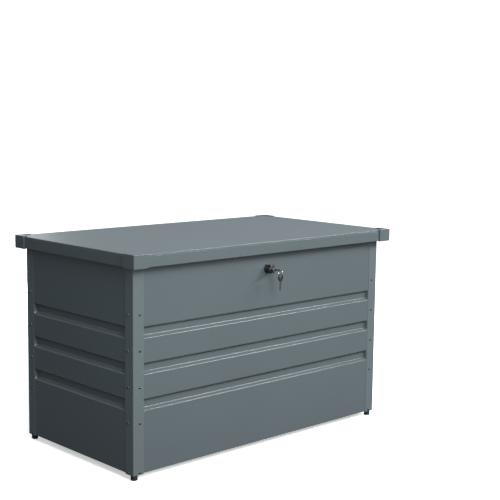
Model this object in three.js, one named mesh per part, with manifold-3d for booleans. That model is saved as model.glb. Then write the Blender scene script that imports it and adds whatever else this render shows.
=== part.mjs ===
// Deck storage box: a sheet-metal chest with a hinged lid on two gas struts and a cam lock.
// Millimetres, +Z up, front towards -Y. The origin is under the middle of the bounding box.

import * as THREE from 'three';
import { mergeVertices } from 'three/addons/utils/BufferGeometryUtils.js';
import Module from 'manifold-3d';

const wasm = await Module();
wasm.setup();

// ---- driving dimensions -------------------------------------------------------------------

const GAP = 0.3; // clearance between neighbouring pieces
const SHEET = 1.5; // wall, lid and floor sheet
const BODY = { width: 1148, depth: 604, bottom: 18.2, rim: 696 };
const POST = { face: 42.2, thickness: 1.2 };
const PANEL = { bottom: 20, flange: 12 };
const GROOVE = { opening: 37, floor: 22, depth: 12, pitch: 115.1, lowest: 240.2, count: 3 };
const FLOOR = { bottom: 21.8, ribDepth: 6, ribPitch: 180, ribOpening: 40, ribCrest: 24, ribInset: 40 };
const FOOT = { radius: 11.25, height: 17.9, inset: 15, pinRadius: 3 };

const LID = { width: 1200, front: -341.2, back: 332.8, top: 721.5, bottom: 676.5 };
const CAP = { leg: 56, proud: 5.5, step: 2, topLip: 16, underLip: 9 };
const RAIL = { topFlange: 16, bottomFlange: 12 };
const LINER = { z: 706, sheet: 1.2, halfWidth: 582, front: -320, back: 305, ribHeight: 8, ribPitch: 112 };
const LINER_RIB = { opening: 37, crest: 17, middle: -15, inset: 30 };

const HINGE = { y: 312, z: 697, pin: 2.5, bore: 2.8, knuckle: 4.5, width: 60, leaf: 2, spacing: 420 };
const BODY_LEAF = { bottom: -33, top: -8, webBottom: -11 }; // heights from the hinge axis
const LID_LEAF = { back: -26, front: 4, web: 3 }; // y from the hinge axis
const PIN_HEAD = { radius: 3.6, height: 1.2 };

const STRUT = { x: 540, upper: [-50, 680], lower: [200, 620], radius: 9, rod: 4, ball: 5 };
const UPPER_BRACKET = { inner: -8, tab: [13, 15], sheet: 2, plateHalf: 20, tabHalf: 9, neck: 3 };
const LOWER_BRACKET = { sheet: 2, halfDepth: 18, halfHeight: 14, neck: 3 };

const LOCK = { x: 0, z: 622, hole: 13.3 };
const HOUSING = { flange: 17, sleeve: 13, end: -280 };
const NUT = { radius: 20, thickness: 5 };
const KNOB = { radius: 16.2, lobes: 6, lobeDepth: 1.4, front: -326, back: -304.6 };
const STEM = { radius: 10, end: -273.5 };
const BARREL = { radius: 7.5, front: -336, back: -291 };
const KEYWAY = { width: 9.2, height: 3, end: -300 };
const CAM = { front: -273.2, back: -269.8, reach: 42, tail: 10, width: 16, square: 9 };
const CAM_SCREW = { radius: 2.5, bore: 2.8, depth: 9, head: 7, headHeight: 3 };
const KEEPER = { outer: 46, foot: 20, lip: 24, sheet: 2, bottom: -18 };
const KEEPER_RUN = { overCam: 1.3, width: 18.3, footPast: 12 }; // along y
const KEY = { head: 12, thickness: 2.6, hole: 4.6, bridge: 3, tang: 7, gapToBarrel: 5 };
const KEY_HUB = { margin: 1.5, wall: 1.4 };
const BLADE = { width: 8, thickness: 2.2, length: 34, shoulder: 9, pitch: 4, land: 1, run: 1.4 };
const BLADE_CUTS = [0, 1.4, 0.4, 1.8, 0.8, 1.5]; // depths along the edge
const KEY_HEAD_CENTRE = BARREL.front - KEY.gapToBarrel - KEY.head;
const RING = { radius: 9.8, wire: 0.8, drop: 6.6 };

// The key ring is the foremost piece and the lid caps are the rearmost.
const RING_Y = KEY_HEAD_CENTRE - KEY.head + KEY.bridge / 2;
const FOREMOST = RING_Y - RING.radius - RING.wire;
const ORIGIN_Y = (FOREMOST + LID.back) / 2;

// ---- materials ----------------------------------------------------------------------------

function finish(color, roughness, metalness) {
  return new THREE.MeshStandardMaterial({ color, roughness, metalness });
}

const ANTHRACITE = finish(0x5d656c, 0.45, 0.3);
const BACK_COAT = finish(0xa9b6b1, 0.5, 0.2);
const RUBBER = finish(0x17181a, 0.85, 0);
const BLACK_PLASTIC = finish(0x141416, 0.4, 0);
const CHROME = finish(0xd8dadc, 0.15, 1);
const STEEL = finish(0x9a9da0, 0.35, 1);
const YELLOW_ZINC = finish(0xb08a3c, 0.4, 0.9);
const BLACK_STEEL = finish(0x1b1c1e, 0.35, 0.5);

// ---- geometry helpers -----------------------------------------------------------------------

function solid(geometry) {
  const bare = geometry.index ? geometry.clone() : mergeVertices(geometry);
  bare.deleteAttribute('normal');
  bare.deleteAttribute('uv');
  const merged = mergeVertices(bare, 1e-4);
  const vertProperties = new Float32Array(merged.attributes.position.array);
  const triVerts = new Uint32Array(merged.index.array);
  return new wasm.Manifold(new wasm.Mesh({ numProp: 3, vertProperties, triVerts }));
}

function geometryOf(manifold) {
  const mesh = manifold.getMesh();
  const geometry = new THREE.BufferGeometry();
  geometry.setAttribute('position', new THREE.BufferAttribute(mesh.vertProperties, 3));
  geometry.setIndex(new THREE.BufferAttribute(mesh.triVerts, 1));
  return geometry;
}

function union(solids) {
  return solids.reduce((joined, next) => joined.add(next));
}

function box([x0, x1], [y0, y1], [z0, z1]) {
  const geometry = new THREE.BoxGeometry(x1 - x0, y1 - y0, z1 - z0);
  geometry.translate((x0 + x1) / 2, (y0 + y1) / 2, (z0 + z1) / 2);
  return solid(geometry);
}

const AXIS_X = new THREE.Vector3(1, 0, 0);
const AXIS_Y = new THREE.Vector3(0, 1, 0);
const AXIS_Z = new THREE.Vector3(0, 0, 1);

function extrude(shape, depth, curveSegments = 12) {
  return new THREE.ExtrudeGeometry(shape, { depth, curveSegments, bevelEnabled: false });
}

// A prism whose outline is drawn in the (y, z) plane and runs along x.
function prismX(outline, [x0, x1]) {
  const shape = new THREE.Shape(outline.map(([y, z]) => new THREE.Vector2(y, z)));
  const geometry = extrude(shape, x1 - x0);
  geometry.applyMatrix4(new THREE.Matrix4().makeBasis(AXIS_Y, AXIS_Z, AXIS_X));
  geometry.translate(x0, 0, 0);
  return solid(geometry);
}

// A shape drawn in the (x, z) plane and run along y.
function prismY(shape, [y0, y1], curveSegments) {
  const geometry = extrude(shape, y1 - y0, curveSegments);
  geometry.applyMatrix4(new THREE.Matrix4().makeBasis(AXIS_X, AXIS_Z, AXIS_Y.clone().negate()));
  geometry.translate(0, y1, 0);
  return solid(geometry);
}

function rod(axis, radius, [from, to], segments = 24) {
  const geometry = new THREE.CylinderGeometry(radius, radius, to - from, segments);
  geometry.translate(0, (from + to) / 2, 0);
  if (axis === 'x') geometry.rotateZ(-Math.PI / 2);
  if (axis === 'z') geometry.rotateX(Math.PI / 2);
  return solid(geometry);
}

function ball(radius, [x, y, z]) {
  const geometry = new THREE.SphereGeometry(radius, 16, 10);
  geometry.translate(x, y, z);
  return solid(geometry);
}

function roundedBar(length, width, back) {
  // A flat bar with round ends, from -back to length along +z of the (x, z) plane.
  const half = width / 2;
  const shape = new THREE.Shape();
  shape.absarc(0, length - half, half, 0, Math.PI, false);
  shape.absarc(0, half - back, half, Math.PI, 2 * Math.PI, false);
  return shape;
}

// ---- the object -----------------------------------------------------------------------------

const storageBox = new THREE.Group();
storageBox.position.y = -ORIGIN_Y;

function place(name, manifold, material, { at = [0, 0, 0], turn = 0 } = {}) {
  const mesh = new THREE.Mesh(geometryOf(manifold), material);
  mesh.name = name;
  mesh.position.set(...at);
  mesh.rotation.z = turn;
  storageBox.add(mesh);
  return mesh;
}

const SIDES = [['left', -1], ['right', 1]];

// A span measured outwards from the middle of the box, on its left (-1) or right (1) side.
function outwards(sign, a, b) {
  return sign < 0 ? [-b, -a] : [a, b];
}

// ---- walls and floor ------------------------------------------------------------------------

const PANEL_OUT = POST.thickness + GAP; // how far the wall sheets sit behind the post faces
const GROOVE_MIDDLES = Array.from({ length: GROOVE.count }, (_, i) => GROOVE.lowest + i * GROOVE.pitch);

// A trapezoid pressed into a sheet: the sheet's near face is at 0 and the pressing goes to depth.
function pressing(length, opening, crest, depth, middle) {
  const outline = [
    [-SHEET, middle - opening / 2],
    [0, middle - opening / 2],
    [depth, middle - crest / 2],
    [depth, middle + crest / 2],
    [0, middle + opening / 2],
    [-SHEET, middle + opening / 2],
  ];
  return prismX(outline, [-length / 2, length / 2]);
}

// The metal that a pressing pushes out: the same trapezoid grown by the sheet's thickness.
function pressingSkin(length, opening, crest, depth, middle, sheet) {
  const outline = [
    [sheet / 2, middle - opening / 2 - sheet],
    [depth + sheet, middle - crest / 2 - sheet / 2],
    [depth + sheet, middle + crest / 2 + sheet / 2],
    [sheet / 2, middle + opening / 2 + sheet],
  ];
  return prismX(outline, [-length / 2 - sheet, length / 2 + sheet]);
}

// A wall seen from its own side: outer face at y = 0, inside towards +y, centred on x = 0.
function wallPanel(length, flangeLength) {
  const grooveLength = length - 2 * (POST.face - PANEL_OUT) + 2 * SHEET;
  let wall = box([-length / 2, length / 2], [0, SHEET], [PANEL.bottom, BODY.rim]);
  const flange = [-flangeLength / 2, flangeLength / 2];
  wall = wall.add(box(flange, [0, PANEL.flange], [BODY.rim - SHEET, BODY.rim]));
  wall = wall.add(box(flange, [0, PANEL.flange], [PANEL.bottom, PANEL.bottom + SHEET]));
  for (const middle of GROOVE_MIDDLES) {
    const { opening, floor, depth } = GROOVE;
    wall = wall.add(pressingSkin(grooveLength, opening, floor, depth, middle, SHEET));
    wall = wall.subtract(pressing(grooveLength, opening, floor, depth, middle));
  }
  return wall;
}

const WALL_Y = BODY.depth / 2 - PANEL_OUT;
const WALL_X = BODY.width / 2 - PANEL_OUT;
const longWallLength = 2 * (WALL_X - SHEET - GAP);
const shortWallLength = 2 * WALL_Y;
const shortFlangeLength = 2 * (WALL_Y - PANEL.flange - GAP);

const frontHole = rod('y', LOCK.hole, [-20, 20], 32).translate([LOCK.x, 0, LOCK.z]);
const longWall = wallPanel(longWallLength, longWallLength);
const shortWall = wallPanel(shortWallLength, shortFlangeLength);
place('front_panel', longWall.subtract(frontHole), ANTHRACITE, { at: [0, -WALL_Y, 0] });
place('back_panel', longWall, ANTHRACITE, { at: [0, WALL_Y, 0], turn: Math.PI });
place('left_panel', shortWall, ANTHRACITE, { at: [-WALL_X, 0, 0], turn: -Math.PI / 2 });
place('right_panel', shortWall, ANTHRACITE, { at: [WALL_X, 0, 0], turn: Math.PI / 2 });

function floorPanel() {
  const x = WALL_X - SHEET - GAP;
  const y = WALL_Y - SHEET - GAP;
  let floor = box([-x, x], [-y, y], [FLOOR.bottom, FLOOR.bottom + SHEET]);
  const { ribOpening, ribCrest, ribDepth, ribInset } = FLOOR;
  const length = 2 * (x - ribInset);
  for (const row of [-1, 0, 1]) {
    // Ribs rise from the floor: the pressing is drawn along y of its own frame, then laid down.
    const lay = (rib) => rib.rotate([90, 0, 0]).translate([0, row * FLOOR.ribPitch, FLOOR.bottom]);
    floor = floor.add(lay(pressingSkin(length, ribOpening, ribCrest, ribDepth, 0, SHEET)));
    floor = floor.subtract(lay(pressing(length, ribOpening, ribCrest, ribDepth, 0)));
  }
  return floor;
}
place('floor_panel', floorPanel(), BACK_COAT);

// ---- corner posts and feet ------------------------------------------------------------------

// The front left post: its corner is at the origin and it reaches towards +x and +y.
function cornerPost() {
  const inner = [POST.thickness, POST.face + 1];
  const leg = box([0, POST.face], [0, POST.face], [BODY.bottom, BODY.rim]);
  const hollow = box(inner, inner, [BODY.bottom - 1, BODY.rim + 1]);
  const plate = [POST.thickness / 2, POST.face - 2];
  const bottomPlate = box(plate, plate, [BODY.bottom, PANEL.bottom - GAP]);
  const footHole = rod('z', FOOT.pinRadius + GAP, [0, BODY.rim]).translate([FOOT.inset, FOOT.inset, 0]);
  return leg.subtract(hollow).add(bottomPlate).subtract(footHole);
}

function foot() {
  const pad = new THREE.LatheGeometry([
    new THREE.Vector2(0, 0),
    new THREE.Vector2(FOOT.radius - 1, 0),
    new THREE.Vector2(FOOT.radius, 1),
    new THREE.Vector2(FOOT.radius - 0.5, FOOT.height),
    new THREE.Vector2(FOOT.pinRadius, FOOT.height),
    new THREE.Vector2(FOOT.pinRadius, PANEL.bottom - GAP),
    new THREE.Vector2(0, PANEL.bottom - GAP),
  ], 32);
  pad.rotateX(Math.PI / 2);
  return solid(pad);
}

const CORNERS = [
  ['front_left', -1, -1, 0],
  ['front_right', 1, -1, Math.PI / 2],
  ['back_right', 1, 1, Math.PI],
  ['back_left', -1, 1, -Math.PI / 2],
];
for (const [corner, sideX, sideY, turn] of CORNERS) {
  const at = [sideX * BODY.width / 2, sideY * BODY.depth / 2, 0];
  const footAt = [at[0] - sideX * FOOT.inset, at[1] - sideY * FOOT.inset, 0];
  place(`post_${corner}`, cornerPost(), ANTHRACITE, { at, turn });
  place(`foot_${corner}`, foot(), RUBBER, { at: footAt });
}

// ---- lid --------------------------------------------------------------------------------------

const SKIN = { x: LID.width / 2 - CAP.proud, front: LID.front + CAP.proud, back: LID.back - CAP.proud };
const SKIN_TOP = LID.top - CAP.step;
const SKIN_BOTTOM = LID.bottom + CAP.step;
const RAIL_TOP = SKIN_TOP - SHEET - GAP;

place('lid_top_sheet',
  box([-SKIN.x, SKIN.x], [SKIN.front, SKIN.back], [SKIN_TOP - SHEET, SKIN_TOP]), ANTHRACITE);

// A rail seen from its own side: outer face at y = 0, inside towards +y.
function lidRail(length, flangeLength, bottomFlange) {
  const flange = [-flangeLength / 2, flangeLength / 2];
  let rail = box([-length / 2, length / 2], [0, SHEET], [SKIN_BOTTOM, RAIL_TOP]);
  rail = rail.add(box(flange, [0, RAIL.topFlange], [RAIL_TOP - SHEET, RAIL_TOP]));
  if (bottomFlange) rail = rail.add(box(flange, [0, bottomFlange], [SKIN_BOTTOM, SKIN_BOTTOM + SHEET]));
  return rail;
}

const longFlange = 2 * (SKIN.x - SHEET - GAP);
const lidMiddle = (SKIN.front + SKIN.back) / 2;
const sideRail = SKIN.back - SKIN.front - 2 * (SHEET + GAP);
const sideFlange = SKIN.back - SKIN.front - 2 * (RAIL.topFlange + GAP);
place('lid_rail_front', lidRail(2 * SKIN.x, longFlange, RAIL.bottomFlange), ANTHRACITE,
  { at: [0, SKIN.front, 0] });
place('lid_rail_back', lidRail(2 * SKIN.x, longFlange, 0), ANTHRACITE,
  { at: [0, SKIN.back, 0], turn: Math.PI });
for (const [side, sign] of SIDES) {
  place(`lid_rail_${side}`, lidRail(sideRail, sideFlange, RAIL.bottomFlange), ANTHRACITE,
    { at: [sign * SKIN.x, lidMiddle, 0], turn: sign * Math.PI / 2 });
}

// A corner cap: two legs outside the rails, with a lip over them and a narrower one under them.
function cornerCap() {
  const { leg, proud, topLip, underLip } = CAP;
  const block = box([0, leg], [0, leg], [LID.bottom, LID.top]);
  const railSpace = [proud - GAP, leg + 1];
  const between = box(railSpace, railSpace, [SKIN_BOTTOM - GAP, SKIN_TOP + GAP]);
  const overSpace = [topLip, leg + 1];
  const underSpace = [underLip, leg + 1];
  const over = box(overSpace, overSpace, [SKIN_TOP, LID.top + 1]);
  const under = box(underSpace, underSpace, [LID.bottom - 1, SKIN_BOTTOM]);
  return block.subtract(between).subtract(over).subtract(under);
}
for (const [corner, sideX, sideY, turn] of CORNERS) {
  const y = sideY < 0 ? LID.front : LID.back;
  place(`lid_cap_${corner}`, cornerCap(), ANTHRACITE, { at: [sideX * LID.width / 2, y, 0], turn });
}

function lidLiner() {
  const { z, sheet, halfWidth: x, front, back, ribHeight, ribPitch } = LINER;
  const wallTop = RAIL_TOP - SHEET - GAP;
  let liner = box([-x, x], [front, back], [z, wallTop]);
  const inX = [-x + sheet, x - sheet];
  liner = liner.subtract(box(inX, [front + sheet, back - sheet], [z + sheet, wallTop + 1]));
  const { opening, crest, middle, inset } = LINER_RIB;
  const length = 2 * (x - inset);
  for (const row of [-1, 0, 1]) {
    const lay = (rib) => rib.rotate([90, 0, 0]).translate([0, middle + row * ribPitch, z]);
    liner = liner.add(lay(pressingSkin(length, opening, crest, ribHeight - sheet, 0, sheet)));
    liner = liner.subtract(lay(pressing(length, opening, crest, ribHeight - sheet, 0)));
  }
  return liner;
}
place('lid_liner', lidLiner(), BACK_COAT);

// ---- hinges -----------------------------------------------------------------------------------

const KNUCKLE_SPLIT = 10; // half the lid knuckle's width, with half a gap on each side

function hingeBodyLeaf() {
  const half = HINGE.width / 2;
  const inner = WALL_Y + GAP;
  const outer = inner + HINGE.leaf;
  const { bottom, top, webBottom } = BODY_LEAF;
  const plate = box([-half, half], [inner, outer], [HINGE.z + bottom, HINGE.z + top]);
  const web = prismX([
    [inner, HINGE.z + webBottom],
    [outer, HINGE.z + webBottom],
    [HINGE.y + 2, HINGE.z - HINGE.knuckle + 0.6],
    [HINGE.y - 1, HINGE.z - 1],
    [inner, HINGE.z + top],
  ], [-half, half]);
  const knuckle = rod('x', HINGE.knuckle, [-half, half]).translate([0, HINGE.y, HINGE.z]);
  const split = KNUCKLE_SPLIT + GAP / 2;
  const window = box([-split, split], [HINGE.y - 6.5, HINGE.y + 8], [HINGE.z - 7.5, HINGE.z + 8]);
  const bore = rod('x', HINGE.bore, [-half - 1, half + 1]).translate([0, HINGE.y, HINGE.z]);
  return union([plate, web, knuckle]).subtract(window).subtract(bore);
}

function hingeLidLeaf() {
  const half = HINGE.width / 2;
  const split = KNUCKLE_SPLIT - GAP / 2;
  const top = LINER.z - GAP;
  const { back, front, web: webHalf } = LID_LEAF;
  const plate = box([-half, half], [HINGE.y + back, HINGE.y + front], [top - HINGE.leaf, top]);
  const webDepth = [HINGE.y - webHalf, HINGE.y + webHalf];
  const web = box([-split, split], webDepth, [HINGE.z, top - HINGE.leaf / 2]);
  const knuckle = rod('x', HINGE.knuckle, [-split, split]).translate([0, HINGE.y, HINGE.z]);
  const bore = rod('x', HINGE.bore, [-half, half]).translate([0, HINGE.y, HINGE.z]);
  return union([plate, web, knuckle]).subtract(bore);
}

function hingePin() {
  const half = HINGE.width / 2 + GAP;
  const { radius, height } = PIN_HEAD;
  const pin = rod('x', HINGE.pin, [-half - height, half + height]);
  const heads = [rod('x', radius, [-half - height, -half]), rod('x', radius, [half, half + height])];
  return union([pin, ...heads]).translate([0, HINGE.y, HINGE.z]);
}

for (const [where, sign] of [['left', -1], ['middle', 0], ['right', 1]]) {
  const at = [sign * HINGE.spacing, 0, 0];
  place(`hinge_body_leaf_${where}`, hingeBodyLeaf(), ANTHRACITE, { at });
  place(`hinge_lid_leaf_${where}`, hingeLidLeaf(), ANTHRACITE, { at });
  place(`hinge_pin_${where}`, hingePin(), STEEL, { at });
}

// ---- gas struts ---------------------------------------------------------------------------------

const [upperY, upperZ] = STRUT.upper;
const [lowerY, lowerZ] = STRUT.lower;
const strutLength = Math.hypot(lowerY - upperY, lowerZ - upperZ);
const strutTilt = Math.atan2(lowerZ - upperZ, lowerY - upperY);

// Every strut piece is drawn along +y from the upper pivot, then tilted onto the strut's line.
function alongStrut(piece) {
  return piece.rotate([THREE.MathUtils.radToDeg(strutTilt), 0, 0]).translate([0, upperY, upperZ]);
}

const SOCKET = { radius: 7.5, half: 6, bottom: 1.5, collar: 5.5, start: 3, end: 20 };
const TUBE = { start: SOCKET.end + GAP, end: 205, bore: 7.4, cap: 10, neck: 8 };
const PISTON = { start: 60, end: 68, radius: 7 };

// The upper socket is a cup: its ball enters from the wall side, which is -x on the left strut.
function upperSocket(sign) {
  const cup = rod('x', SOCKET.radius, outwards(sign, -SOCKET.half - SOCKET.bottom, SOCKET.half));
  const collar = rod('y', SOCKET.collar, [SOCKET.start, SOCKET.end]);
  const mouth = rod('x', STRUT.ball + GAP, outwards(sign, -STRUT.ball - GAP, SOCKET.half + 1));
  return alongStrut(cup.add(collar).subtract(mouth));
}

function strutTube() {
  const tube = rod('y', STRUT.radius, [TUBE.start, TUBE.end], 32);
  const chamber = rod('y', TUBE.bore, [TUBE.start + TUBE.cap, TUBE.end - TUBE.neck], 32);
  const neck = rod('y', STRUT.rod + GAP, [TUBE.end - TUBE.neck - 1, TUBE.end + 1]);
  return alongStrut(tube.subtract(chamber).subtract(neck));
}

function strutRod() {
  const piston = rod('y', PISTON.radius, [PISTON.start, PISTON.end], 32);
  const shaft = rod('y', STRUT.rod, [PISTON.end - 1, strutLength - SOCKET.end - GAP]);
  return alongStrut(piston.add(shaft));
}

function lowerSocket() {
  const cup = rod('x', SOCKET.radius, [-SOCKET.half, SOCKET.half]).translate([0, strutLength, 0]);
  const collar = rod('y', SOCKET.collar, [strutLength - SOCKET.end, strutLength - SOCKET.start]);
  return alongStrut(cup.add(collar));
}

// The upper bracket hangs from the lid: a plate, a tab beside the strut, and the ball stud.
function upperBracket(sign) {
  const top = LINER.z - GAP;
  const { inner, tab, sheet, plateHalf, tabHalf, neck: radius } = UPPER_BRACKET;
  const [tabInner, tabOuter] = tab;
  const plateDepth = [upperY - plateHalf, upperY + plateHalf];
  const plate = box(outwards(sign, inner, tabOuter), plateDepth, [top - sheet, top]);
  const armDepth = [upperY - tabHalf, upperY + tabHalf];
  const arm = box(outwards(sign, tabInner, tabOuter), armDepth, [upperZ - tabHalf, top - sheet / 2]);
  const neck = rod('x', radius, outwards(sign, 2, tabInner + 1)).translate([0, upperY, upperZ]);
  return union([plate, arm, neck, ball(STRUT.ball, [0, upperY, upperZ])]);
}

// The lower bracket is screwed to the end wall. Its ball stops beside the lower socket.
function lowerBracket(sign) {
  const wall = WALL_X - SHEET - GAP - STRUT.x;
  const ballX = SOCKET.half + GAP + STRUT.ball;
  const { sheet, halfDepth, halfHeight, neck: radius } = LOWER_BRACKET;
  const depth = [lowerY - halfDepth, lowerY + halfDepth];
  const plate = box(outwards(sign, wall - sheet, wall), depth, [lowerZ - halfHeight, lowerZ + halfHeight]);
  const neck = rod('x', radius, outwards(sign, ballX, wall - 1)).translate([0, lowerY, lowerZ]);
  return union([plate, neck, ball(STRUT.ball, [sign * ballX, lowerY, lowerZ])]);
}

for (const [side, sign] of SIDES) {
  const at = [sign * STRUT.x, 0, 0];
  place(`strut_upper_bracket_${side}`, upperBracket(sign), YELLOW_ZINC, { at });
  place(`strut_lower_bracket_${side}`, lowerBracket(sign), YELLOW_ZINC, { at });
  place(`strut_upper_socket_${side}`, upperSocket(sign), BLACK_PLASTIC, { at });
  place(`strut_tube_${side}`, strutTube(), BLACK_STEEL, { at });
  place(`strut_rod_${side}`, strutRod(), CHROME, { at });
  place(`strut_lower_socket_${side}`, lowerSocket(), BLACK_PLASTIC, { at });
}

// ---- lock -----------------------------------------------------------------------------------------

const lockAt = { at: [LOCK.x, 0, LOCK.z] };

function lockHousing() {
  const flange = rod('y', HOUSING.flange, [KNOB.back + GAP, -WALL_Y - GAP], 40);
  const sleeve = rod('y', HOUSING.sleeve, [-WALL_Y - 1, HOUSING.end], 40);
  const bore = rod('y', STEM.radius + GAP, [KNOB.back - 1, HOUSING.end + 10], 40);
  return flange.add(sleeve).subtract(bore);
}

function lockNut() {
  const start = -WALL_Y + SHEET + GAP;
  const end = start + NUT.thickness;
  const thread = rod('y', HOUSING.sleeve + GAP, [start - 1, end + 1], 40);
  return rod('y', NUT.radius, [start, end], 6).subtract(thread);
}

function knobOutline() {
  const shape = new THREE.Shape();
  const steps = KNOB.lobes * 10;
  for (let step = 0; step < steps; step += 1) {
    const angle = (2 * Math.PI * step) / steps;
    const radius = KNOB.radius + KNOB.lobeDepth * (Math.cos(KNOB.lobes * angle) - 0.6);
    const point = [radius * Math.cos(angle), radius * Math.sin(angle)];
    if (step === 0) shape.moveTo(...point);
    else shape.lineTo(...point);
  }
  shape.closePath();
  return shape;
}

function lockKnob() {
  const { front, back } = KNOB;
  const grip = prismY(knobOutline(), [front, back]);
  const shaft = rod('y', STEM.radius, [back - 1, STEM.end], 40);
  const half = CAM.square / 2;
  const square = box([-half, half], [STEM.end - 1, CAM.back + GAP], [-half, half]);
  const barrelBore = rod('y', BARREL.radius + GAP, [front - 1, BARREL.back + GAP], 40);
  const screwBore = rod('y', CAM_SCREW.bore, [CAM.back - CAM_SCREW.depth - 1, CAM.back + 1]);
  return union([grip, shaft, square]).subtract(barrelBore).subtract(screwBore);
}

function lockCam() {
  const hole = CAM.square / 2 + GAP;
  const blade = prismY(roundedBar(CAM.reach, CAM.width, CAM.tail), [CAM.front, CAM.back], 16);
  return blade.subtract(box([-hole, hole], [CAM.front - 1, CAM.back + 1], [-hole, hole]));
}

function camScrew() {
  const { radius, depth, head, headHeight } = CAM_SCREW;
  const start = CAM.back + 2 * GAP;
  const shank = rod('y', radius, [start - depth, start + 1]);
  return shank.add(rod('y', head, [start, start + headHeight], 32));
}

function lockBarrel() {
  const { width, height, end } = KEYWAY;
  const slot = box([-width / 2, width / 2], [BARREL.front - 1, end], [-height / 2, height / 2]);
  return rod('y', BARREL.radius, [BARREL.front, BARREL.back], 40).subtract(slot);
}

place('lock_housing', lockHousing(), BLACK_PLASTIC, lockAt);
place('lock_nut', lockNut(), STEEL, lockAt);
place('lock_knob', lockKnob(), BLACK_PLASTIC, lockAt);
place('lock_cam', lockCam(), STEEL, lockAt);
place('lock_cam_screw', camScrew(), STEEL, lockAt);
place('lock_barrel', lockBarrel(), CHROME, lockAt);

// The keeper hangs from the lid beside the lock. Its lip is under the cam when that is turned.
function lockKeeper() {
  const { outer, foot: footInner, lip: lipInner, sheet } = KEEPER;
  const { overCam, width, footPast } = KEEPER_RUN;
  const front = CAM.front - overCam;
  const back = front + width;
  const top = LINER.z - GAP;
  const bottom = LOCK.z + KEEPER.bottom;
  const footPlate = box([footInner, outer], [front - footPast, back + footPast], [top - sheet, top]);
  const leg = box([outer - sheet, outer], [front, back], [bottom, top - sheet / 2]);
  const lip = box([lipInner, outer], [front, back], [bottom, bottom + sheet]);
  return union([footPlate, leg, lip]).translate([LOCK.x, 0, 0]);
}
place('lock_keeper', lockKeeper(), STEEL);

// ---- keys -----------------------------------------------------------------------------------------

// A key lies flat in the (x, y) plane with its head's centre at the origin and its blade along +y.
function keyHead() {
  const { head, thickness, hole, bridge, tang } = KEY;
  const { margin, wall } = KEY_HUB;
  const half = thickness / 2;
  const disc = rod('z', head, [-half, half], 48);
  const hubX = BLADE.width / 2 + margin;
  const hubZ = BLADE.thickness / 2 + wall;
  const hub = box([-hubX, hubX], [head - tang - margin, head], [-hubZ, hubZ]);
  const eye = rod('z', hole, [-half - 1, half + 1], 32).translate([0, -head + bridge + hole, 0]);
  const x = BLADE.width / 2 + GAP;
  const z = BLADE.thickness / 2 + GAP;
  const tangHole = box([-x, x], [head - tang - GAP, head + 1], [-z, z]);
  return disc.add(hub).subtract(eye).subtract(tangHole);
}

function keyBlade() {
  const { width, thickness, length, shoulder, pitch, land, run } = BLADE;
  const half = width / 2;
  const root = KEY.head - KEY.tang;
  const firstCut = KEY.head + shoulder;
  const tip = KEY.head + length;
  const shape = new THREE.Shape();
  shape.moveTo(-half, root);
  shape.lineTo(half, root);
  shape.lineTo(half, firstCut);
  BLADE_CUTS.forEach((depth, i) => {
    const cut = firstCut + i * pitch + land;
    shape.lineTo(half - depth, cut);
    shape.lineTo(half - depth, cut + run);
  });
  shape.lineTo(half - 3, tip);
  shape.lineTo(-half + 2, tip);
  shape.lineTo(-half, tip - 3);
  shape.closePath();
  const geometry = extrude(shape, thickness);
  geometry.translate(0, 0, -thickness / 2);
  return solid(geometry);
}

const keyInLock = (key) => key.translate([LOCK.x, KEY_HEAD_CENTRE, LOCK.z]);
place('key_head', keyInLock(keyHead()), BLACK_PLASTIC);
place('key_blade', keyInLock(keyBlade()), CHROME);

function keyRing() {
  const torus = new THREE.TorusGeometry(RING.radius, RING.wire, 8, 40);
  torus.rotateY(Math.PI / 2);
  torus.translate(LOCK.x, RING_Y, LOCK.z - RING.drop);
  return solid(torus);
}
place('key_ring', keyRing(), CHROME);

// The spare key hangs blade down from the bottom of the ring.
const RING_BOTTOM = LOCK.z - RING.drop - RING.radius;
const spareCentre = RING_BOTTOM + RING.wire + 0.5 + KEY.bridge - KEY.head;
const spareHanging = (key) => key.rotate([-90, 0, 0]).translate([LOCK.x, RING_Y, spareCentre]);
place('spare_key_head', spareHanging(keyHead()), BLACK_PLASTIC);
place('spare_key_blade', spareHanging(keyBlade()), CHROME);

export default storageBox;
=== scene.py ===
# Deck storage box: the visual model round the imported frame. Metres, +Z up, front towards -Y.
import math

import bmesh
import bpy
from mathutils import Matrix, Vector

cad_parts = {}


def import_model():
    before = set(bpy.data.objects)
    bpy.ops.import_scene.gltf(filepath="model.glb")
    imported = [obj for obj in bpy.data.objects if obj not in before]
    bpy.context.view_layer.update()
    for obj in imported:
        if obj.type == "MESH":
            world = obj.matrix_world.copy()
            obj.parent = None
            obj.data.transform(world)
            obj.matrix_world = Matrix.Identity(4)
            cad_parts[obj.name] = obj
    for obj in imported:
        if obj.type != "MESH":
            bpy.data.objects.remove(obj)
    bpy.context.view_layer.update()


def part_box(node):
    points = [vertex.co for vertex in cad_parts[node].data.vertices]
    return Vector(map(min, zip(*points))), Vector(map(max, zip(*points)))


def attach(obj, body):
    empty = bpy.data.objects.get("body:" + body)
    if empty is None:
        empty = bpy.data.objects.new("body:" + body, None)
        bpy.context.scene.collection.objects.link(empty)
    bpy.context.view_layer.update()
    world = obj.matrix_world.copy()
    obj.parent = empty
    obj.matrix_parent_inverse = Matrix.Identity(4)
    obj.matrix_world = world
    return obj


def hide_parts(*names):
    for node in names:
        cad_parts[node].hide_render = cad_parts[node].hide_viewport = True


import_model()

MM = 0.001

# ---- driving dimensions, in millimetres

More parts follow.
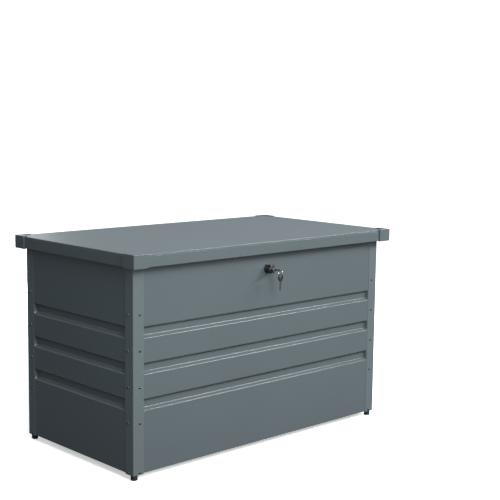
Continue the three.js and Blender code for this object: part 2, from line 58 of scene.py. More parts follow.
SHEET = 1.2
WALL_FLANGE = 12
GROOVE = {"opening": 37, "floor": 22, "depth": 12, "pitch": 115.1, "lowest": 240.2, "count": 3}
GROOVE_BEND = 4.0
POST = {"face": 42.2, "thickness": 1.2, "bend": 2.4, "hem": 5.0, "hem_drop": 0.9}
SCREW_HEIGHTS = (24.6, 184.2, 298.4, 413.9, 528.0, 689.0)
SCREW_INSET = 26
SCREW_RADIUS = 4.0
SMALL_SCREW = (3.2, 1.9)  # radius and height of a head
BRACKET_SCREW = (3.4, 2.0)
LIP = {"drop": 5.0, "bend": 2.4}
LINER = {"pitch": 112, "rib": (37, 17, 6.8), "margin": 30}
FLOOR = {"pitch": 180, "rib": (40, 24, 6), "margin": 40}
LOCK = {"x": 0.0, "z": 622.0, "hole": 13.3}
LOCK_AT = (LOCK["x"], LOCK["z"])
CAP = {"top_lip": 16, "under_lip": 9}
RAIL = {"top_flange": 16, "bottom_flange": 12}
FOOT_TOP = 17.9  # where a foot's pad ends and its pin begins

# ---- the camera of the photograph

CAMERA = {
    "position": (-2.53962, -2.87277, 1.15957),
    "yaw": 43.449,
    "pitch": 7.46,
    "roll": 0.722,
    "lens": 77.42,
}


def make_camera():
    yaw, pitch, roll = (math.radians(CAMERA[k]) for k in ("yaw", "pitch", "roll"))
    forward = Vector((
        math.sin(yaw) * math.cos(pitch),
        math.cos(yaw) * math.cos(pitch),
        -math.sin(pitch),
    ))
    level = forward.cross(Vector((0, 0, 1))).normalized()
    upright = level.cross(forward)
    right = math.cos(roll) * level + math.sin(roll) * upright
    up = -math.sin(roll) * level + math.cos(roll) * upright
    data = bpy.data.cameras.new("camera")
    data.lens = CAMERA["lens"]
    data.sensor_width = 36
    data.clip_end = 60
    camera = bpy.data.objects.new("camera", data)
    turn = Matrix((right, up, -forward)).transposed().to_4x4()
    camera.matrix_world = Matrix.Translation(CAMERA["position"]) @ turn
    bpy.context.scene.collection.objects.link(camera)
    bpy.context.scene.camera = camera


make_camera()

# ---- node material helpers


class Nodes:
    """A small wrapper for building a material's node tree."""

    def __init__(self, name):
        self.material = bpy.data.materials.new(name)
        self.material.use_nodes = True
        self.tree = self.material.node_tree
        self.shader = self.tree.nodes["Principled BSDF"]
        self.coordinates = self.tree.nodes.new("ShaderNodeTexCoord").outputs["Object"]

    def link(self, a, b):
        self.tree.links.new(a, b)

    def noise(self, scale, detail=2.0, roughness=0.5, stretch=(1, 1, 1)):
        mapping = self.tree.nodes.new("ShaderNodeMapping")
        mapping.inputs["Scale"].default_value = stretch
        self.link(self.coordinates, mapping.inputs["Vector"])
        node = self.tree.nodes.new("ShaderNodeTexNoise")
        node.inputs["Scale"].default_value = scale
        node.inputs["Detail"].default_value = detail
        node.inputs["Roughness"].default_value = roughness
        self.link(mapping.outputs["Vector"], node.inputs["Vector"])
        return node.outputs["Fac"]

    def spread(self, value, low, high, start=0.35, end=0.65):
        node = self.tree.nodes.new("ShaderNodeMapRange")
        node.inputs["From Min"].default_value = start
        node.inputs["From Max"].default_value = end
        node.inputs["To Min"].default_value = low
        node.inputs["To Max"].default_value = high
        self.link(value, node.inputs["Value"])
        return node.outputs["Result"]

    def blend(self, factor, a, b):
        node = self.tree.nodes.new("ShaderNodeMix")
        node.data_type = "RGBA"
        self.link(factor, node.inputs["Factor"])
        for socket, value in ((node.inputs[6], a), (node.inputs[7], b)):
            if isinstance(value, (tuple, list)):
                socket.default_value = (*value, 1)
            else:
                self.link(value, socket)
        return node.outputs[2]

    def bump(self, height, distance, strength=1.0, after=None):
        node = self.tree.nodes.new("ShaderNodeBump")
        node.inputs["Distance"].default_value = distance
        node.inputs["Strength"].default_value = strength
        self.link(height, node.inputs["Height"])
        if after is not None:
            self.link(after, node.inputs["Normal"])
        return node.outputs["Normal"]


def scaled(colour, factor):
    return tuple(min(1, c * factor) for c in colour)


def coating(name, colour, roughness, metallic=0.0, peel=1.0, waviness=1.0, variation=0.06):
    """Powder coat: a slight orange peel, the sheet's long waves and a faint change of tone."""
    nodes = Nodes(name)
    broad = nodes.spread(nodes.noise(2.6, 2), 0, 1, 0.2, 0.8)
    tone = nodes.blend(broad, scaled(colour, 1 - variation), scaled(colour, 1 + variation))
    speck = nodes.spread(nodes.noise(1500, 1), 0, 1, 0.45, 0.75)
    nodes.link(nodes.blend(speck, tone, scaled(colour, 1.25)), nodes.shader.inputs["Base Color"])
    rough = nodes.spread(nodes.noise(5, 1), roughness - 0.008, roughness + 0.008, 0.2, 0.8)
    nodes.link(rough, nodes.shader.inputs["Roughness"])
    nodes.shader.inputs["Metallic"].default_value = metallic
    waves = nodes.bump(nodes.noise(3.2, 1, 0.4), 0.0012 * waviness)
    peeled = nodes.bump(nodes.noise(520, 2, 0.5), 0.00005 * peel, after=waves)
    nodes.link(peeled, nodes.shader.inputs["Normal"])
    return nodes.material


def plastic(name, colour, roughness, grain=0.00004, scale=900, variation=0.15):
    nodes = Nodes(name)
    tone = nodes.spread(nodes.noise(60, 3), 0, 1)
    mixed = nodes.blend(tone, scaled(colour, 1 - variation), scaled(colour, 1 + variation))
    nodes.link(mixed, nodes.shader.inputs["Base Color"])
    rough = nodes.spread(nodes.noise(140, 3), roughness - 0.05, roughness + 0.06)
    nodes.link(rough, nodes.shader.inputs["Roughness"])
    nodes.link(nodes.bump(nodes.noise(scale, 2), grain), nodes.shader.inputs["Normal"])
    return nodes.material


def metal(name, colour, roughness, stretch=(1, 1, 1), tint=None, scale=260, grain=0.00001):
    """Bare or plated metal with fine scratches drawn out along one axis, and tint blotches."""
    nodes = Nodes(name)
    tint = tint or scaled(colour, 0.86)
    blotch = nodes.spread(nodes.noise(38, 3), 0, 1)
    nodes.link(nodes.blend(blotch, colour, tint), nodes.shader.inputs["Base Color"])
    nodes.shader.inputs["Metallic"].default_value = 1.0
    rough = nodes.spread(nodes.noise(scale, 3, 0.6, stretch), roughness * 0.75, roughness * 1.3)
    nodes.link(rough, nodes.shader.inputs["Roughness"])
    scratches = nodes.noise(scale * 4, 2, 0.6, stretch)
    nodes.link(nodes.bump(scratches, grain), nodes.shader.inputs["Normal"])
    return nodes.material


ANTHRACITE = coating("anthracite_coat", (0.070, 0.086, 0.093), 0.28, waviness=0.4)
POST_COAT = coating("anthracite_coat_posts", (0.083, 0.101, 0.109), 0.28, waviness=0.4)
BACK_COAT = coating("back_coat", (0.50, 0.57, 0.55), 0.33, metallic=0.35, variation=0.05)
RUBBER = plastic("foot_rubber", (0.012, 0.012, 0.013), 0.75, 0.0001, 700)
BLACK_PLASTIC = plastic("black_plastic", (0.011, 0.011, 0.012), 0.34)
CHROME = metal("chrome", (0.82, 0.83, 0.85), 0.08)
STEEL = metal("plain_steel", (0.52, 0.53, 0.54), 0.3, (1, 1, 0.08))
DARK_SCREW = metal("screw_metal", (0.13, 0.14, 0.15), 0.2)
YELLOW_ZINC = metal("yellow_zinc", (0.62, 0.47, 0.17), 0.28, tint=(0.55, 0.40, 0.30))
STRUT_BLACK = plastic("strut_black", (0.010, 0.010, 0.011), 0.2, 0.00001)
POLISHED_ROD = metal("polished_rod", (0.75, 0.75, 0.77), 0.1, (1, 0.05, 1))
LABEL = plastic("strut_label", (0.66, 0.67, 0.67), 0.4, 0.00001)

# ---- mesh helpers, all in millimetres


def rounded(points, radius=0.0, steps=4, closed=True):
    """An outline with its corners turned into arcs. A third number on a point is its own radius."""
    out = []
    count = len(points)
    for i, point in enumerate(points):
        here = Vector(point[:2])
        size = point[2] if len(point) > 2 else radius
        if size <= 0 or (not closed and i in (0, count - 1)):
            out.append(tuple(here))
            continue
        back = Vector(points[i - 1][:2]) - here
        ahead = Vector(points[(i + 1) % count][:2]) - here
        half = back.angle(ahead) / 2
        trim = min(size / math.tan(half), back.length * 0.49, ahead.length * 0.49)
        size = trim * math.tan(half)
        back.normalize()
        ahead.normalize()
        centre = here + (back + ahead).normalized() * (size / math.sin(half))
        start = here + back * trim - centre
        end = here + ahead * trim - centre
        first = math.atan2(start.y, start.x)
        sweep = math.atan2(end.y, end.x) - first
        sweep = (sweep + math.pi) % (2 * math.pi) - math.pi
        for step in range(steps + 1):
            angle = first + sweep * step / steps
            out.append((centre.x + size * math.cos(angle), centre.y + size * math.sin(angle)))
    return out


PLANES = {
    "x": lambda a, b, t: (t, a, b),
    "y": lambda a, b, t: (a, t, b),
    "z": lambda a, b, t: (a, b, t),
}


def bridge(bm, rings, closed=True):
    """Quads between neighbouring rings of vertices."""
    for one, two in zip(rings, rings[1:]):
        count = len(one)
        for i in range(count if closed else count - 1):
            j = (i + 1) % count
            bm.faces.new((one[i], one[j], two[j], two[i]))


def prism(bm, outline, axis, lo, hi):
    rings = [[bm.verts.new(PLANES[axis](a, b, t)) for a, b in outline] for t in (lo, hi)]
    bridge(bm, rings)
    bm.faces.new(rings[0])
    bm.faces.new(rings[1])


def lathe(bm, profile, axis, centre=(0, 0), segments=32, wobble=None):
    """Turns (radius, along) points about an axis. Points of radius 0 close the shape."""
    rings = []
    for radius, along in profile:
        if radius < 1e-6:
            rings.append([bm.verts.new(PLANES[axis](*centre, along))])
            continue
        ring = []
        for k in range(segments):
            angle = 2 * math.pi * k / segments
            r = radius if wobble is None else wobble(radius, angle)
            a = centre[0] + r * math.cos(angle)
            b = centre[1] + r * math.sin(angle)
            ring.append(bm.verts.new(PLANES[axis](a, b, along)))
        rings.append(ring)
    for one, two in zip(rings, rings[1:]):
        if len(one) == 1 and len(two) == 1:
            continue
        for i in range(segments):
            j = (i + 1) % segments
            if len(one) == 1:
                bm.faces.new((one[0], two[j], two[i]))
            elif len(two) == 1:
                bm.faces.new((one[i], one[j], two[0]))
            else:
                bm.faces.new((one[i], one[j], two[j], two[i]))
    return rings


def sharpen(mesh, angle=32):
    mesh.shade_smooth()
    mesh.set_sharp_from_angle(angle=math.radians(angle))


def piece(name, bm, materials, body, *nodes, slot=None, matrix=None, flip_check=True):
    """Turns a bmesh in millimetres into an object that rides on a body."""
    bmesh.ops.remove_doubles(bm, verts=bm.verts, dist=0.002)
    if flip_check:
        bmesh.ops.recalc_face_normals(bm, faces=bm.faces)
    bm.transform(Matrix.Scale(MM, 4) @ (matrix or Matrix.Identity(4)))
    mesh = bpy.data.meshes.new(name)
    bm.to_mesh(mesh)
    bm.free()
    for material in materials:
        mesh.materials.append(material)
    sharpen(mesh)
    obj = bpy.data.objects.new(name, mesh)
    bpy.context.scene.collection.objects.link(obj)
    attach(obj, body)
    if nodes:
        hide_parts(*nodes)
    return obj


def settle(obj, *cutters):
    """Applies an object's modifiers to its mesh and removes what cut it."""
    depsgraph = bpy.context.evaluated_depsgraph_get()
    mesh = bpy.data.meshes.new_from_object(obj.evaluated_get(depsgraph))
    obj.modifiers.clear()
    obj.data = mesh
    sharpen(mesh)
    for cutter in cutters:
        bpy.data.objects.remove(cutter)


def cut_away(obj, bm):
    """Cuts a closed shape, in millimetres, out of an object."""
    bmesh.ops.recalc_face_normals(bm, faces=bm.faces)
    bm.transform(Matrix.Scale(MM, 4))
    mesh = bpy.data.meshes.new("cutter")
    bm.to_mesh(mesh)
    bm.free()
    cutter = bpy.data.objects.new("cutter", mesh)
    bpy.context.scene.collection.objects.link(cutter)
    hole = obj.modifiers.new("cut", "BOOLEAN")
    hole.object = cutter
    hole.operation = "DIFFERENCE"
    settle(obj, cutter)


def soften(obj, width=0.3, segments=2, angle=40):
    """Small rounded edges, with even shading on the flats between them."""
    bevel = obj.modifiers.new("edges", "BEVEL")
    bevel.width = width * MM
    bevel.segments = segments
    bevel.limit_method = "ANGLE"
    bevel.angle_limit = math.radians(angle)
    bevel.harden_normals = False
    even_shading(obj)
    return obj


def even_shading(obj):
    weighted = obj.modifiers.new("shading", "WEIGHTED_NORMAL")
    weighted.keep_sharp = True
    return obj


def mm(vector):
    return Vector(vector) / MM


def box_mm(node):
    lo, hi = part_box(node)
    return mm(lo), mm(hi)


SHIFT = (box_mm("front_panel")[0].y + box_mm("back_panel")[1].y) / 2  # the walls' middle along y

# ---- walls


def groove_rows(bottom, top, flange):
    """The (height, depth) line of a wall's outer face, from flange to flange."""
    points = [(bottom, flange), (bottom, 0, 1.8)]
    for i in range(GROOVE["count"]):
        middle = GROOVE["lowest"] + i * GROOVE["pitch"]
        wide, narrow = GROOVE["opening"] / 2, GROOVE["floor"] / 2
        points += [
            (middle - wide, 0, GROOVE_BEND),
            (middle - narrow, GROOVE["depth"], GROOVE_BEND),
            (middle + narrow, GROOVE["depth"], GROOVE_BEND),
            (middle + wide, 0, GROOVE_BEND),
        ]
    points += [(top, 0, 1.8), (top, flange)]
    return rounded(points, steps=5, closed=False)


def end_columns(half, press_half, steps=6, run=3.0):
    """(position, share of the pressing's depth) columns from one end of a sheet to the other."""
    side = [(half, 0.0), (half - 20, 0.0), (press_half + 0.4, 0.0)]
    for step in range(1, steps + 1):
        share = step / steps
        side.append((press_half - run * share, 0.5 - 0.5 * math.cos(math.pi * share)))
    inner = [(press_half * k / 5, 1.0) for k in (4, 3, 2, 1)]
    right = side + inner
    return [(-u, share) for u, share in right] + [(0.0, 1.0)] + [(u, s) for u, s in reversed(right)]


def wall_panel(name, long_wall, matrix):
    lo, hi = box_mm(name)
    half = (hi.x - lo.x) / 2 if long_wall else (hi.y - lo.y) / 2
    mitre = 0.0 if long_wall else 1.8
    press_half = half - (POST["face"] - 1.5)
    bm = bmesh.new()
    rings = []
    for u, share in end_columns(half, press_half + 1.5):
        ring = []
        for z, depth in groove_rows(lo.z, hi.z, WALL_FLANGE):
            at = u
            if z < lo.z + 3 or z > hi.z - 3:
                limit = half - (depth + mitre if depth > 0.5 else 0)
                at = max(-limit, min(limit, u))
            else:
                depth = depth * share
            ring.append(bm.verts.new((at, depth, z)))
        rings.append(ring)
    bridge(bm, rings, closed=False)
    obj = piece(name + "_sheet", bm, (ANTHRACITE, BACK_COAT), "box", name,
                slot="anthracite_coat", matrix=matrix)
    outward = matrix.to_3x3() @ Vector((0, -1, 0))
    low = (lo.z + 80) * MM  # on the flat, below the lowest groove
    middle = min(obj.data.polygons, key=lambda f: abs(f.center.z - low) + f.center.length)
    if middle.normal.dot(outward) < 0:
        obj.data.flip_normals()
    thick = obj.modifiers.new("sheet", "SOLIDIFY")
    thick.thickness = SHEET * MM
    thick.offset = -1
    thick.use_even_offset = True
    thick.material_offset = 1
    thick.material_offset_rim = 0
    return obj


def walls():
    front_lo, _ = box_mm("front_panel")
    _, back_hi = box_mm("back_panel")
    left_lo, left_hi = box_mm("left_panel")
    middle = (left_lo.y + left_hi.y) / 2
    _, right_hi = box_mm("right_panel")

    def at(x, y, turn):
        return Matrix.Translation((x, y, 0)) @ Matrix.Rotation(math.radians(turn), 4, "Z")

    front = wall_panel("front_panel", True, at(0, front_lo.y, 0))
    hole = bmesh.new()
    near, far, radius = front_lo.y - 20, front_lo.y + 20, LOCK["hole"]
    lathe(hole, [(0, near), (radius, near), (radius, far), (0, far)], "y", LOCK_AT, 40)
    cut_away(front, hole)
    back = wall_panel("back_panel", True, at(0, back_hi.y, 180))
    left = wall_panel("left_panel", False, at(left_lo.x, middle, -90))
    right = wall_panel("right_panel", False, at(right_hi.x, middle, 90))
    for wall in (back, left, right):
        settle(wall)
    for wall in (front, back, left, right):
        even_shading(wall)


walls()

# ---- corner posts, screws and feet

CORNERS = (("front_left", -1, -1, 0), ("front_right", 1, -1, 90),
           ("back_right", 1, 1, 180), ("back_left", -1, 1, -90))


def post_outline():
    """An L with a rounded corner. Its free edges curve back towards the wall behind them."""
    face, thick = POST["face"], POST["thickness"]
    hem, drop = POST["hem"], POST["hem_drop"]
    curl = [(face - hem + hem * math.sin(a), drop * (1 - math.cos(a)))
            for a in (math.radians(d) for d in (0, 18, 36, 54, 72, 90))]
    corner = rounded([(0, face), (0, 0, POST["bend"]), (face, 0)], steps=6, closed=False)[1:-1]
    inner = rounded([(face, thick), (thick, thick, 1.0), (thick, face)], closed=False)[1:-1]
    mirror = [(b, a) for a, b in reversed(curl)]
    return corner + curl + [(face, thick)] + inner + [(thick, face)] + mirror


def corner_matrix(node, side_x, side_y, turn):
    lo, hi = box_mm(node)
    x = lo.x if side_x < 0 else hi.x
    y = lo.y if side_y < 0 else hi.y
    return Matrix.Translation((x, y, 0)) @ Matrix.Rotation(math.radians(turn), 4, "Z")


def screw(bm, matrix, radius=SCREW_RADIUS, height=2.6):
    """A domed pan head with a cross recess. Its seat is at the origin and it points to -y."""
    made = bmesh.new()
    flat = radius * 0.52
    profile = [(radius, 0.4), (radius, -0.35)]
    for step in range(1, 6):
        angle = math.radians(90 * step / 6)
        profile.append((flat + (radius - flat) * math.cos(angle),
                        -0.35 - (height - 0.35) * math.sin(angle)))
    rings = lathe(made, profile, "y", segments=28)
    arm, half = flat * 0.86, flat * 0.24
    cross = [(arm, -half), (arm, half), (half, half), (half, arm), (-half, arm), (-half, half),
             (-arm, half), (-arm, -half), (-half, -half), (-half, -arm), (half, -arm),
             (half, -half)]
    top = -height + 0.02
    rim = [made.verts.new((a, top, b)) for a, b in cross]
    pit = [made.verts.new((a * 0.8, top + 1.3, b * 0.8)) for a, b in cross]
    bridge(made, [rim, pit])
    made.faces.new(pit)
    edges = []
    for loop in (rings[-1], rim):
        for i, vert in enumerate(loop):
            pair = (vert, loop[(i + 1) % len(loop)])
            edges.append(made.edges.get(pair) or made.edges.new(pair))
    bmesh.ops.triangle_fill(made, edges=edges, use_beauty=True)
    made.faces.new(rings[0])
    made.transform(matrix)
    bmesh.ops.recalc_face_normals(made, faces=made.faces)
    joined = bpy.data.meshes.new("screw")
    made.to_mesh(joined)
    made.free()
    bm.from_mesh(joined)
    bpy.data.meshes.remove(joined)


def posts():
    for corner, side_x, side_y, turn in CORNERS:
        node = f"post_{corner}"
        lo, hi = box_mm(node)
        place = corner_matrix(node, side_x, side_y, turn)
        bm = bmesh.new()
        prism(bm, post_outline(), "z", lo.z, hi.z)
        inner, outer = POST["thickness"] - 0.2, POST["face"] - 2
        plate = rounded([(inner, inner), (outer, inner), (outer, outer), (inner, outer)], 1.0)
        prism(bm, plate, "z", lo.z, lo.z + 1.5)
        even_shading(piece(f"{node}_angle", bm, (POST_COAT,), "box", node,
                           slot="anthracite_coat", matrix=place))
        screws = bmesh.new()
        for z in SCREW_HEIGHTS:
            screw(screws, Matrix.Translation((SCREW_INSET, 0, z)))
            other = Matrix.Translation((0, SCREW_INSET, z)) @ Matrix.Rotation(-math.pi / 2, 4, "Z")
            screw(screws, other)
        piece(f"screws_{corner}", screws, (DARK_SCREW,), "box", slot="plain_steel",
              matrix=place, flip_check=False)


def feet():
    for corner, *_ in CORNERS:
        node = f"foot_{corner}"
        lo, hi = box_mm(node)
        centre = ((lo.x + hi.x) / 2, (lo.y + hi.y) / 2)
        top = FOOT_TOP
        r = (hi.x - lo.x) / 2
        profile = [(0, 1.2), (r - 4, 1.2), (r - 4.6, 0.2), (r - 3.4, 0), (r - 1.2, 0.25),
                   (r - 0.3, 1.3), (r, 3), (r, 6), (r - 0.9, 6.6), (r - 0.9, 7.4), (r, 8),
                   (r - 0.4, top - 1.2),
                   (r - 1.4, top), (3, top), (3, hi.z), (0, hi.z)]
        bm = bmesh.new()
        lathe(bm, profile, "z", centre, 40)
        piece(f"{node}_glide", bm, (RUBBER,), "box", node, slot="foot_rubber")


posts()
feet()

# ---- lid


def swept_corner(bm, profile, corner_radius, leg, steps=5):
    """Runs an (inward, height) profile round a corner at the origin, along +x and +y legs."""
    rings = []
    for inward, z in profile:
        radius = max(corner_radius - inward, 0.0)
        centre = inward + radius
        ring = [(leg, inward), (centre, inward)]
        for step in range(1, steps):
            angle = math.radians(-90 - 90 * step / steps)
            ring.append((centre + radius * math.cos(angle), centre + radius * math.sin(angle)))
        ring += [(inward, centre), (inward, leg)]
        rings.append([bm.verts.new((x, y, z)) for x, y in ring])
    rings.append(rings[0])
    for one, two in zip(rings, rings[1:]):
        for i in range(len(one) - 1):
            bm.faces.new((one[i], one[i + 1], two[i + 1], two[i]))
    bm.faces.new([ring[0] for ring in rings[:-1]])
    bm.faces.new([ring[-1] for ring in rings[:-1]])


def lid_caps():
    rail_lo = box_mm("lid_rail_front")[0]
    top_sheet_hi = box_mm("lid_top_sheet")[1]
    for corner, side_x, side_y, turn in CORNERS:
        node = f"lid_cap_{corner}"
        lo, hi = box_mm(node)
        leg = hi.x - lo.x
        wall = rail_lo.x - box_mm("lid_cap_front_left")[0].x - 0.3
        top_lip, under_lip = CAP["top_lip"], CAP["under_lip"]
        under, over = rail_lo.z - 0.3, top_sheet_hi.z + 0.3
        profile = rounded([
            (under_lip, lo.z, 0.4), (0, lo.z, 1.8), (0, hi.z, 1.8), (top_lip, hi.z, 0.5),
            (top_lip, over, 0.3), (wall, over, 0.6), (wall, under, 0.6), (under_lip, under, 0.3),
        ])
        bm = bmesh.new()
        swept_corner(bm, profile, 2.6, leg)
        cap = piece(f"{node}_cover", bm, (ANTHRACITE,), "lid", node, slot="anthracite_coat",
                    matrix=corner_matrix(node, side_x, side_y, turn))
        soften(cap, 0.9, 3, 60)


def lid_top():
    """The top sheet, folded down over the rails by a short lip all round."""
    lo, hi = box_mm("lid_top_sheet")
    thick = hi.z - lo.z
    bottom = hi.z - LIP["drop"]
    outer = rounded([(6, hi.z), (0, hi.z, LIP["bend"]), (0, bottom, 0.3), (thick, bottom, 0.3),
                     (thick, lo.z, LIP["bend"] - 1.0), (6, lo.z)], steps=6, closed=False)
    bm = bmesh.new()
    rings = []
    for inward, z in outer:
        x0, x1, y0, y1 = lo.x + inward, hi.x - inward, lo.y + inward, hi.y - inward
        rings.append([bm.verts.new((x, y, z)) for x, y in ((x0, y0), (x1, y0), (x1, y1), (x0, y1))])
    bridge(bm, rings)
    bm.faces.new(rings[0])
    bm.faces.new(rings[-1])
    even_shading(piece("lid_top_sheet_folded", bm, (ANTHRACITE,), "lid", "lid_top_sheet",
                       slot="anthracite_coat"))


def rail_outline(node, bottom_flange):
    """A rail seen from its end: (inward, height). Its top steps in behind the top sheet's lip."""
    lo, hi = box_mm(node)
    lip_bottom = box_mm("lid_top_sheet")[1].z - LIP["drop"]
    thick, step, top_flange = SHEET, 1.8, RAIL["top_flange"]
    outline = [(0, lo.z, 1.6), (0, lip_bottom - 1.2, 0.8), (step, lip_bottom + 1.2, 0.8),
               (step, hi.z, 1.2), (top_flange, hi.z, 0.3), (top_flange, hi.z - thick, 0.3),
               (step + thick, hi.z - thick, 0.6), (step + thick, lip_bottom + 1.2 - 0.5, 0.8),
               (thick, lip_bottom - 1.2 - 0.5, 0.8)]
    if bottom_flange:
        outline += [(thick, lo.z + thick, 0.6), (bottom_flange, lo.z + thick, 0.3),
                    (bottom_flange, lo.z, 0.3)]
    else:
        outline += [(thick, lo.z, 0.2)]
        outline[0] = (0, lo.z, 0.3)
    return rounded(outline, steps=4)


def lid_rails():
    middle = (box_mm("lid_rail_left")[0].y + box_mm("lid_rail_left")[1].y) / 2
    rows = (
        ("front", RAIL["bottom_flange"], lambda lo, hi: (0, lo.y, 0)),
        ("back", 0, lambda lo, hi: (0, hi.y, 180)),
        ("left", RAIL["bottom_flange"], lambda lo, hi: (lo.x, middle, -90)),
        ("right", RAIL["bottom_flange"], lambda lo, hi: (hi.x, middle, 90)),
    )
    for side, flange, where in rows:
        node = f"lid_rail_{side}"
        lo, hi = box_mm(node)
        x, y, turn = where(lo, hi)
        half = (hi.x - lo.x) / 2 if side in ("front", "back") else (hi.y - lo.y) / 2
        bm = bmesh.new()
        prism(bm, rail_outline(node, flange), "x", -half, half)
        inward, short = (2, 2) if side in ("front", "back") else (4, 15)
        for vert in bm.verts:  # the flanges stop short of the next rail
            if vert.co.y > inward and abs(vert.co.x) > half - 1:
                vert.co.x = math.copysign(half - short, vert.co.x)
        matrix = Matrix.Translation((x, y, 0)) @ Matrix.Rotation(math.radians(turn), 4, "Z")
        even_shading(piece(f"{node}_section", bm, (ANTHRACITE,), "lid", node,
                           slot="anthracite_coat", matrix=matrix))


def tray(name, node, body, ribs, rib, edge, margin):
    """A pressed sheet lying flat, its underside at the node's lowest level, with its rim turned up.

    A rib is its width at the opening, its width at the crest and its depth."""
    lo, hi = box_mm(node)
    wide, narrow, rise = rib
    points = [(lo.y, edge), (lo.y, 0, 1.8)] if edge else [(lo.y, 0)]
    for y in ribs:
        points += [(y - wide / 2, 0, 3), (y - narrow / 2, rise, 3),
                   (y + narrow / 2, rise, 3), (y + wide / 2, 0, 3)]
    points += [(hi.y, 0, 1.8), (hi.y, edge)] if edge else [(hi.y, 0)]
    rows = rounded(points, steps=5, closed=False)
    half = (hi.x - lo.x) / 2
    columns = [(u, share, 0.0) for u, share in end_columns(half, half - margin)]
    if edge:
        bend = rounded([(half - 4, 0), (half, 0, 1.8), (half, edge)], steps=5, closed=False)
        turned = [(u, 0.0, rise) for u, rise in reversed(bend)]
        columns = ([(-u, s, rise) for u, s, rise in turned] + columns[1:-1] +
                   list(reversed(turned)))
    bm = bmesh.new()
    rings = []
    for u, share, rise in columns:
        ring = []
        for y, depth in rows:
            near_rim = y < lo.y + 3 or y > hi.y - 3
            up = max(rise, depth if near_rim else depth * share)
            ring.append(bm.verts.new((u, y, lo.z + up)))
        rings.append(ring)
    bridge(bm, rings, closed=False)
    obj = piece(name, bm, (BACK_COAT, BACK_COAT), body, node, slot="back_coat")
    centre = min(obj.data.polygons, key=lambda f: f.center.xy.length)
    if centre.normal.z > 0:
        obj.data.flip_normals()
    thick = obj.modifiers.new("sheet", "SOLIDIFY")
    thick.thickness = SHEET * MM
    thick.offset = -1
    thick.use_even_offset = True
    settle(obj)
    even_shading(obj)


def rows_of_ribs(middle, pitch):
    return [middle + row * pitch for row in (-1, 0, 1)]


def lid_and_floor_sheets():
    lo, hi = box_mm("lid_liner")
    tray("lid_liner_sheet", "lid_liner", "lid", rows_of_ribs(SHIFT - 15, LINER["pitch"]),
         LINER["rib"], hi.z - lo.z, LINER["margin"])
    tray("floor_sheet", "floor_panel", "box", rows_of_ribs(SHIFT, FLOOR["pitch"]),
         FLOOR["rib"], 0, FLOOR["margin"])



lid_caps()
lid_top()
lid_rails()
lid_and_floor_sheets()

# ---- solids shared by the small fittings

SIDES = (("left", -1), ("right", 1))


def slab(bm, lo, hi, axis, radius=0.0):
    """A box whose four edges along one axis are rounded."""
    a, b, t = {"x": (1, 2, 0), "y": (0, 2, 1), "z": (0, 1, 2)}[axis]
    corners = ((lo[a], lo[b]), (hi[a], lo[b]), (hi[a], hi[b]), (lo[a], hi[b]))
    prism(bm, rounded(corners, radius), axis, lo[t], hi[t])


def outward_slab(bm, sign, lo, hi, axis, radius=0.0):
    """A slab whose x is measured outwards from the middle of its own side."""
    near, far = sorted((sign * lo[0], sign * hi[0]))
    slab(bm, (near, *lo[1:]), (far, *hi[1:]), axis, radius)


def hoop(bm, profile, axis, centre=(0, 0), segments=40):
    """A turned ring: a closed profile that stays clear of the axis."""
    lathe(bm, [*profile, profile[0]], axis, centre, segments)


def circle(radius, count=40, centre=(0, 0)):
    turns = (2 * math.pi * k / count for k in range(count))
    return [(centre[0] + radius * math.cos(t), centre[1] + radius * math.sin(t)) for t in turns]


def pierced(bm, outline, hole, axis, lo, hi):
    """A plate with one hole through it."""
    loops = {}
    for t in (lo, hi):
        loops[t] = [[bm.verts.new(PLANES[axis](a, b, t)) for a, b in line]
                    for line in (outline, hole)]
        edges = []
        for loop in loops[t]:
            for i, vert in enumerate(loop):
                edges.append(bm.edges.new((vert, loop[(i + 1) % len(loop)])))
        bmesh.ops.triangle_fill(bm, edges=edges, use_beauty=True)
    for near, far in zip(loops[lo], loops[hi]):
        bridge(bm, [near, far])


def facing(axis, sign):
    """The turn that points a screw's head along an axis."""
    turns = {("y", -1): (0, "Z"), ("y", 1): (180, "Z"), ("x", 1): (90, "Z"), ("x", -1): (-90, "Z"),
             ("z", -1): (90, "X"), ("z", 1): (-90, "X")}
    degrees, about = turns[axis, sign]
    return Matrix.Rotation(math.radians(degrees), 4, about)


# ---- hinges

HINGE = {"y": 312, "z": 697, "pin": 2.5, "bore": 2.8, "knuckle": 4.5, "half": 30, "split": 10,
         "leaf": 2, "wall_leaf": (-33, -8), "lid_leaf": (-26, 4), "screw_spacing": 22}


def knuckle(bm, x0, x1, y, z):
    bore, outer, edge = HINGE["bore"], HINGE["knuckle"], 0.4
    hoop(bm, [(bore, x0), (outer - edge, x0), (outer, x0 + edge), (outer, x1 - edge),
              (outer - edge, x1), (bore, x1)], "x", (y, z), 32)


